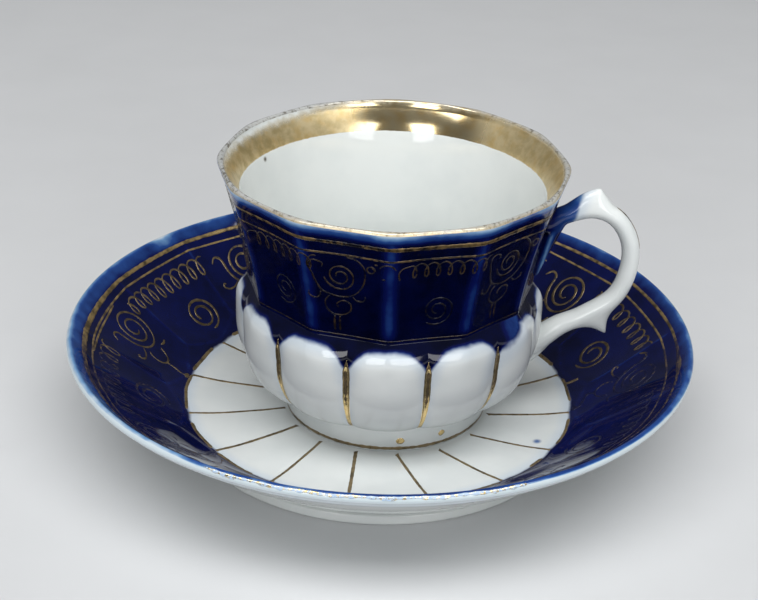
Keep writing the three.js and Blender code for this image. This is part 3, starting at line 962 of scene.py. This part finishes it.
class Gilder:
    """Collects raised gold strokes and makes one mesh of them. In every chart u, v and the way
    out of the surface are right-handed."""

    def __init__(self, chart, seed, uneven=0.06):
        self.chart = chart
        self.rng = np.random.default_rng(seed)
        self.uneven = uneven
        self.vertices = []
        self.faces = []
        self.faded = []
        self.count = 0

    def stroke(self, path, width, centre=0.0, closed=False, nib=0.0, ends=0.55, fade=0.0):
        path = even(np.asarray(path, float))
        run = np.arange(len(path)) * GILT_STEP
        if closed:
            path = path[:-1]
            along = np.roll(path, -1, axis=0) - np.roll(path, 1, axis=0)
            along[[0, -1]] = along[1]
        else:
            along = np.gradient(path, axis=0)
        along = unit(along)
        waves = [np.sin(run * k + phase(self.rng)) for k in (0.9, 2.1, 3.7)]
        broad = width(np.linspace(0, 1, len(path))) if callable(width) else width
        half = broad / 2 * (1 + self.uneven * sum(waves)[: len(path)])
        if nib:
            half = half * (1 - nib + 2 * nib * np.abs(along @ NIB))
        if not closed:
            half = half * lerp(ends, 1, smooth(np.minimum(run, run[::-1]) / STROKE_END))
        sideways = SECTION[None, :, :1] * half[:, None, None]
        flat = path[:, None] + left_of(along)[:, None] * sideways
        here = self.chart(flat, centre)
        tiny = 0.05
        du = self.chart(flat + (tiny, 0), centre) - here
        dv = self.chart(flat + (0, tiny), centre) - here
        normal = unit(np.cross(du, dv))
        top = here + normal * (SECTION[None, :, 1:] * GILT_PROUD)
        bottom = here[:, [3, 0]] - normal[:, [3, 0]] * GILT_SINK
        self.add(np.concatenate([top, bottom], axis=1), closed, fade)

    def add(self, rings, closed, fade):
        index, quads = between_rings(*rings.shape[:2], closed, self.count)
        self.faces += quads[:, ::-1].tolist()
        if not closed:
            self.faces += [index[0].tolist(), index[-1][::-1].tolist()]
        points = rings.reshape(-1, 3)
        faded = fade(points) if callable(fade) else np.full(len(points), fade)
        self.vertices.append(points)
        self.faded.append(np.clip(faded, 0, 1))
        self.count += len(points)

    def ring(self, at, radius, wander, width, fade=0.0, lean=0.0):
        """A line right round at one height, with a slow hand-drawn wander."""
        rng = self.rng
        t = np.linspace(0, TURN, 721)
        drift = sum(rng.uniform(-1, 1) * np.sin(k * t + phase(rng)) / k for k in (2, 3, 5, 9))
        path = pair(t * radius, at + wander * drift + lean * np.cos(t))
        self.stroke(path, width, closed=True, fade=fade)

    def finish(self, name, material, body):
        marks = {"faded": np.hstack(self.faded)}
        obj = add_object(name, np.vstack(self.vertices), self.faces, marks, material)
        put(obj, body, "gilding")


def spiral(centre, inner, outer, turns, end, stretch=1.0):
    """A spiral that winds outward clockwise and ends at that angle in degrees."""
    t = np.linspace(0, 1, int(60 * turns))
    turn = radians(end) + TURN * turns * (1 - t)
    radius = lerp(inner, outer, t)
    across = radius * np.cos(turn)
    return centre + pair(across, stretch * radius * np.sin(turn))


def row_of_loops(start, middle, pitch, count, wide, tall):
    """Running loops that hang below a line, drawn from left to right."""
    t = np.linspace(-0.8 * pi, TURN * count - 0.9 * pi, 40 * count)
    along = start + pitch * t / TURN - wide * np.sin(t)
    return pair(along, middle - tall * np.cos(t))


def saucer_fade(points):
    """The front of the saucer is rubbed most."""
    angle = np.arctan2(points[:, 1], points[:, 0])
    right = points[:, 0] > 0
    return 0.85 * fall(np.sin(angle), np.where(right, 0.12, 0.02), np.where(right, 0.16, 0.26))


def gild_saucer_lines():
    gold = Gilder(on_saucer, 7)

    def rim_width(share):
        angle = TURN * (1 - share)
        return 0.66 - 0.12 * np.cos(angle) + sum(patch(angle, *dab) for dab in RIM_DABS)

    gold.ring(RIM_LINE, SAUCER_CHART, 0.10, rim_width, saucer_fade, RIM_LINE_LEAN)
    gold.ring(INNER_LINE, SAUCER_CHART, 0.14, 0.42, saucer_fade)
    again = through([(-10.5, 68.5), (-5, 68.1), (5, 68.1), (10.5, 68.4)])
    gold.stroke(again, 0.4, radians(178.5), fade=saucer_fade)
    gold.finish("saucer_line_gilding", saucer_line_gold, "saucer")


# The saucer's scrolls and loops. Strokes of a scroll are counted from its middle, and places and
# widths that differ are given by the number of the panel.
SCROLL_RADIUS = 62.7
SCROLL_ASIDE = {0: -0.9, 3: 2.8, 7: -2.8}
SCROLL_WIDTH = {3: 0.42}
SCROLL_TAIL = [(-5.7, 2.2), (-7.2, 2.9), (-8.6, 1.6)]
SCROLL_HOOK = [(-4.2, -3.6), (-5.8, -4.6), (-7.8, -4.9), (-9.0, -4.3), (-8.8, -3.4), (-8.1, -3.6)]
SCROLL_CUP = [(-3.9, -5.1), (-4.9, -6.4), (-4.9, -8.1), (-3.6, -9.2), (-1.8, -9.2), (-0.2, -8.1)]
SCROLL_CUP += [(0.7, -6.6)]
SCROLL_DASH = [(2.0, -6.3), (3.2, -6.6), (4.4, -6.3)]
SCROLL_STEM = [(-3.2, -9.3), (-3.6, -11.2)]
STEM_FOOT = [(-1.9, 49.3), (-1.6, 47.3)]
STEM_BAR = [(-2.9, 47.9), (-1.8, 48.3), (-0.6, 47.9)]
LOOPS_START = -15.0
LOOPS_RADIUS = 64.8
LOOPS_TOP = 66.7
LOOPS = (2.95, 10, 1.3, 2.05)  # pitch, number, width and height
LOOSE_LOOPS = (3.1, 9, 1.15, 1.75)
LOOSE_PANELS = (0, 1, 7)
LONE_RADIUS = 55.5
LONE_ASIDE = {0: -0.3, 3: 2.9}


def gild_saucer():
    gold = Gilder(on_saucer, 17)
    rng = gold.rng

    def draw(points, width, centre, **more):
        gold.stroke(points, width, centre, fade=saucer_fade, **more)

    for k in range(PANELS // 2):
        scroll = PANEL_TURN + 2 * PANEL_HALF * (2 * k + 1)
        aside = SCROLL_ASIDE.get(k, rng.uniform(-1.2, 1.8))
        middle = np.array([aside, SCROLL_RADIUS + rng.uniform(-0.4, 0.4)])
        coil = spiral(middle, 1.1, 5.4, 2.35, 185)
        end = through([coil[-1], *(middle + SCROLL_TAIL)])
        draw(np.vstack([coil, end[1:]]), SCROLL_WIDTH.get(k, 0.52), scroll, nib=0.25)
        for points in (SCROLL_HOOK, SCROLL_CUP):
            draw(through(middle + points), 0.42, scroll, nib=0.2)
        draw(middle + SCROLL_DASH, 0.55, scroll)
        draw(through([*(middle + SCROLL_STEM), *STEM_FOOT]), 0.55, scroll, ends=1.5)
        draw(STEM_BAR, 1.0, scroll)
    for k in range(PANELS // 2):
        panel = PANEL_TURN + 2 * PANEL_HALF * 2 * k
        start = LOOPS_START + rng.uniform(-0.4, 0.4)
        middle = LOOPS_RADIUS + rng.uniform(-0.2, 0.4)
        row = row_of_loops(start, middle, *(LOOSE_LOOPS if k in LOOSE_PANELS else LOOPS))
        growth = 0.86 + 0.18 * rise(row[:, :1], LOOPS_START, 14.0)
        row[:, 1:] = lerp(LOOPS_TOP, row[:, 1:], growth)
        draw(row, 0.4, panel, nib=0.3)
        place = (LONE_ASIDE.get(k, rng.uniform(-0.6, 1.8)), LONE_RADIUS + rng.uniform(-0.5, 0.5))
        draw(spiral(place, 1.7, 5.1, 1.85, 268, 0.83), 0.58, panel, nib=0.25)
    gold.finish("saucer_gilding", saucer_gold, "saucer")


def gild_petals():
    gold = Gilder(on_saucer, 5, 0.05)
    rng = gold.rng
    reach = 2 * PANEL_HALF * SAUCER_CHART
    for k in range(PANELS):
        line = PANEL_TURN + 2 * PANEL_HALF * k
        inner = CUP_AXIS * cos(line) + CUP_FOOT + rng.uniform(0.7, 1.6)
        r = np.linspace(PETAL_LINE_END, inner, 16)
        broad = rng.uniform(0.65, 0.85)

        def width(share):
            return broad * SAUCER_CHART / lerp(PETAL_LINE_END, inner, share)

        petal = pair(-SAUCER_CHART * petal_swing(r, line), r)
        gold.stroke(petal, width, line, ends=1.3)
        u = reach * np.linspace(rng.uniform(0.0, 0.3), rng.uniform(0.5, 1.0), 12)
        bound = pair(u, WELL_RADIUS + 0.2 + 0.12 * np.sin(u * 0.4 + k))
        gold.stroke(bound, rng.uniform(0.65, 1.15), line, ends=0.4)
    slip = through([(0, 47.2), (0.6, 48.6), (1.0, 50.4)])
    gold.stroke(slip, 1.0, radians(9.5), ends=1.1)
    gold.finish("saucer_petal_gilding", petal_gold, "saucer")


def gild_rim():
    """What the years have left of the gold on the rim's front."""
    gold = Gilder(on_saucer, 9, 0.15)
    u = np.linspace(-22, 34, 60)
    left = pair(u, RIM_GOLD + 0.06 * np.sin(u * 0.7))
    gold.stroke(left, 0.45, radians(274), ends=0.1)
    gold.finish("saucer_rim_gilding", rim_gold, "saucer")


def gild_grooves():
    gold = Gilder(on_cup, 3, 0.02)
    for k in range(LOBES):
        broad = gold.rng.uniform(1.5, 1.75)
        strip = [(0, 29.4 + gold.rng.uniform(-0.3, 0.3)), (0, 20.0), (0, FOOT_TOP + 1.1)]

        def width(t):
            return broad * lerp(1.0, 0.62, rise(t, 0.4, 0.5)) * lerp(0.1, 1, smooth(t / 0.15))

        gold.stroke(through(strip), width, LOBE_HALF * (2 * k + 1))
    gold.finish("cup_groove_gilding", groove_gold, "cup")


def gild_foot():
    gold = Gilder(on_foot, 2, 0.1)
    gold.ring(FOOT_LINE, CUP_FOOT, 0.06, 0.9)
    gold.finish("cup_foot_gilding", petal_gold, "cup")


def gild_reflection_dabs():
    """Two gold dabs on the foot, a painted reflection of gold glints that its glaze mirrors."""
    gold = Gilder(on_foot, 6, 0.04)
    for place, h, size in REFLECTION_DABS:

        def width(t):
            return size * np.sqrt(np.maximum(0.02, 1 - (2 * t - 1) ** 2))

        drop = [(-size / 2, h), (0, h), (size / 2, h)]
        gold.stroke(drop, width, radians(place), ends=1.0)
    gold.finish("cup_foot_painted_reflection_gilding", groove_gold, "cup")


def gild_cup_lines():
    gold = Gilder(on_cup, 11)

    def lip_width(share):
        return 0.82 + 0.33 * np.cos(TURN * share - radians(320))

    def lip_fade(points):
        angle = np.arctan2(points[:, 1], points[:, 0] - CUP_AXIS)
        return patch(angle, -106, 0.24, 0.7)

    gold.ring(LIP_LINE, CUP_CHART, 0.08, lip_width, lip_fade)
    gold.ring(SECOND_LINE, CUP_CHART, 0.10, 0.5, 0.45)
    gold.finish("cup_line_gilding", cup_line_gold, "cup")


CUP_SCROLL_ASIDE = {5: (2.8, 0.9)}


def gild_cup():
    gold = Gilder(on_cup, 19)
    rng = gold.rng
    for k in range(LOBES // 2):
        scroll = radians(15 + 60 * k)
        shift = np.array([rng.uniform(-0.4, 0.4), rng.uniform(-0.25, 0.25)])
        shift = shift + CUP_SCROLL_ASIDE.get(k, (0, 0))

        def draw(points, width, nib=0.2):
            gold.stroke(through(shift + points), width, scroll, nib=nib, fade=0.3)

        coil = spiral(shift + (-1.84, 49.9), 0.9, 3.75, 2.0, 190)
        gold.stroke(coil, 0.34, scroll, nib=0.25, fade=0.1)
        outer = [(0, 55.3), (1.8, 55.0), (3.4, 53.7), (4.0, 51.8), (3.7, 49.0), (2.5, 46.6)]
        outer += [(0.6, 45.0), (-1.9, 44.4), (-4.1, 44.7), (-6.3, 45.6), (-7.5, 47.8), (-8.1, 50.0)]
        outer += [(-8.6, 51.5), (-8.4, 53.1), (-7.2, 53.6), (-5.7, 53.0), (-5.8, 52.0)]
        draw(outer, 0.33, 0.25)
        draw([(0.9, 44.7), (1.8, 43.9), (3.1, 43.9), (4.0, 44.7), (3.8, 45.3)], 0.31)
        draw([(-6.6, 45.3), (-7.2, 43.8), (-8.4, 43.4), (-9.4, 44.1), (-9.3, 45.1)], 0.31)
        curl = [(-4.7, 44.4), (-5.8, 42.8), (-5.6, 40.9), (-4.1, 39.5), (-1.9, 39.5), (0, 40.6)]
        curl += [(0.4, 42.2), (-0.3, 43.1), (-1.9, 43.3), (-3.1, 42.3), (-2.7, 41.4)]
        draw(curl, 0.32)
        for side in (-3.8, -2.5):
            draw([(side, 39.1), (side - 0.1, 37.2), (side, 35.3)], 0.48)
        draw(spiral((5.3, 52.8), 0.7, 1.0, 1.2, 0), 0.32)
        draw([(7.1, 53.7), (8.1, 54.7), (9.6, 54.8), (10.7, 53.7)], 0.32)
        for u, h in ((6.4, 54.5), (8.1, 50.9)):
            draw([(u - 0.35, h), (u, h + 0.05), (u + 0.35, h)], 0.6)
    for k in range(LOBES // 2):
        panel = radians(45 + 60 * k)
        row = row_of_loops(-4.8 + rng.uniform(-0.3, 0.3), 53.2, 2.65, 7, 1.0, 1.85)
        u = row[0, 0]
        hook = through([(u - 2.7, 50.9), (u - 3.0, 52.5), (u - 2.3, 54.0), row[0]])
        gold.stroke(np.vstack([hook[:-1], row]), 0.31, panel, nib=0.3, fade=0.1)
        place = (1.6 + rng.uniform(-0.4, 0.4), 42.2 + rng.uniform(-0.3, 0.3))
        gold.stroke(spiral(place, 0.9, 4.1, 2.1, 235), 0.33, panel, nib=0.25, fade=0.75)
    gold.ring(WAIST_LINE, CUP_CHART, 0.10, 0.28, 0.3)
    gold.finish("cup_gilding", cup_gold, "cup")


def gild_handle(handle):
    """A gold line down the outer edge of the loop, drifting to its front."""
    gold = Gilder(on_handle(handle), 4, 0.12)
    line = pair(np.linspace(0, 10, 30), np.linspace(0.0, -0.6, 30))
    gold.stroke(line, 0.9, radians(64))
    gold.finish("cup_handle_gilding", cup_line_gold, "cup")


# Pieces on their bodies

FLECK_AT = (42.4, radians(333.4))
FLECK_SIZE = 1.4
fleck = polar(*FLECK_AT, saucer_top(*FLECK_AT))
saucer_glaze = make_painted("cobalt_and_white_glaze", 0.22, 0.44, (fleck, FLECK_SIZE))
bowl_glaze = make_bowl_glaze("cup_glaze_with_gilt_lip")
white = make_white("white_glaze")
handle_glaze = make_painted("handle_glaze", 0.60, 0.10)
saucer_gold = make_gilding(
    "gilding_on_saucer_cobalt", COBALT_DEEP, GOLD_TAN, GOLD_TAN_DARK, worn=0.60, shine=0.72, rough=0.28
)
saucer_line_gold = make_gilding(
    "line_gilding_on_saucer", COBALT_DEEP, GOLD_DULL, GOLD_TAN_DARK, worn=0.68, shine=0.6, rough=0.28
)
cup_gold = make_gilding(
    "gilding_on_cup_cobalt", COBALT_BLACK, GOLD_UMBER, GOLD_DARK, worn=0.60, shine=0.30, rough=0.10
)
cup_line_gold = make_gilding(
    "line_gilding_on_cup", COBALT_BLACK, GOLD_BROWN, GOLD_DARK, worn=0.64, shine=0.45, rough=0.14
)
petal_gold = make_gilding(
    "gilding_on_white", GOLD_TAN_DARK, GOLD_TAN, GOLD_TAN_DARK, worn=0.72, shine=0.45, rough=0.26
)
groove_gold = make_gilding(
    "burnished_gilding", GOLD_BROWN, GOLD, GOLD_OLIVE, worn=0.95, shine=0.86, rough=0.12, grain=0.0015
)
rim_gold = make_gilding(
    "rubbed_rim_gilding", PORCELAIN_BLUED, GOLD_PALE, GOLD_OLIVE, worn=0.47, shine=0.9, rough=0.16
)
inner = SAUCER_FOOT - SAUCER_FOOT_WIDE
saucer_foot = rounded_ring(inner, SAUCER_FOOT, SAUCER_FOOT, SAUCER_SEAT, FOOT_ROUND)
inner = CUP_FOOT - CUP_FOOT_WIDTH
cup_foot = rounded_ring(inner, CUP_FOOT, CUP_BOWL_RADIUS, FOOT_TOP, CUP_FOOT_ROUND)

put(saucer_dish(saucer_glaze), "saucer", "saucer_glaze", "saucer_dish")
saucer_ring = foot_ring("saucer_foot_ring_glazed", (0, 0, 0), saucer_foot, white)
put(saucer_ring, "saucer", "white_glaze", "saucer_foot_ring")
put(cup_bowl(bowl_glaze), "cup", "cup_glaze", "cup_bowl")
cup_ring = foot_ring("cup_foot_ring_glazed", CUP_ORIGIN, cup_foot, white)
put(cup_ring, "cup", "white_glaze", "cup_foot_ring")
handle = cup_handle(handle_glaze)
put(handle, "cup", "white_glaze", "cup_handle")
gild_saucer_lines()
gild_saucer()
gild_petals()
gild_rim()
gild_cup_lines()
gild_cup()
gild_grooves()
gild_foot()
gild_reflection_dabs()
gild_handle(handle)

# Floor, light and camera, in metres

FLOOR_HALF = 4.0
FLOOR_GREY = (0.62, 0.63, 0.64, 1)
FLOOR_DARKER = tuple(0.97 * c for c in FLOOR_GREY[:3]) + (1,)
LAMP_AIM = Vector((0, 0, 0.035))
ROOM_COLOUR = (0.93, 0.96, 1.0, 1)
ROOM_STRENGTH = 0.09
CAMERA_PLACE = Vector((0, -0.3513, 0.2126))
CAMERA_TURNS = (-0.10, 27.12, 1.93)  # pan, tilt down and roll, in degrees
CAMERA_LENS = 78.22  # in millimetres, for a sensor 36 wide


def floor():
    half = FLOOR_HALF / MM
    corners = [(-half, -half, 0), (half, -half, 0), (half, half, 0), (-half, half, 0)]
    obj = add_object("floor", corners, [[0, 1, 2, 3]])
    n = Nodes("floor_paper")
    n.set("Base Color", n.mix(n.between(n.noise(30.0), 0.2, 0.8), FLOOR_GREY, FLOOR_DARKER))
    n.set("Roughness", 0.9)
    obj.data.materials.append(n.material)


def soft_box(name, azimuth, elevation, distance, size, power):
    """A rectangular lamp that faces the cup. Azimuth 0 is the camera's side, positive to its right."""
    light = bpy.data.lights.new(name, "AREA")
    light.shape = "RECTANGLE"
    light.size, light.size_y = size
    light.energy = power
    obj = bpy.data.objects.new(name, light)
    a, e = radians(azimuth), radians(elevation)
    away = Vector((sin(a) * cos(e), -cos(a) * cos(e), sin(e)))
    obj.location = LAMP_AIM + away * distance
    obj.rotation_euler = away.to_track_quat("Z", "Y").to_euler()
    bpy.context.scene.collection.objects.link(obj)


def surroundings():
    world = bpy.data.worlds.new("room")
    bpy.context.scene.world = world
    world.use_nodes = True
    shade = world.node_tree.nodes["Background"]
    shade.inputs["Color"].default_value = ROOM_COLOUR
    shade.inputs["Strength"].default_value = ROOM_STRENGTH


def camera():
    """The photograph's view: 27 degrees down, rolled a little."""
    data = bpy.data.cameras.new("camera")
    data.lens = CAMERA_LENS
    obj = bpy.data.objects.new("camera", data)
    pan, tilt, roll = (radians(x) for x in CAMERA_TURNS)
    turn = Matrix.Rotation(-pan, 4, "Z") @ Matrix.Rotation(pi / 2 - tilt, 4, "X")
    obj.matrix_world = Matrix.Translation(CAMERA_PLACE) @ turn @ Matrix.Rotation(roll, 4, "Z")
    bpy.context.scene.collection.objects.link(obj)
    bpy.context.scene.camera = obj


floor()
surroundings()
soft_box("lamp_left", -22, 21, 1.2, (0.34, 0.62), 3.2)
soft_box("lamp_right", 26, 21, 1.2, (0.42, 0.62), 3.2)
soft_box("lamp_above", 0, 70.5, 1.3, (2.0, 0.7), 22.0)
camera()
bpy.context.scene.view_settings.view_transform = "Standard"
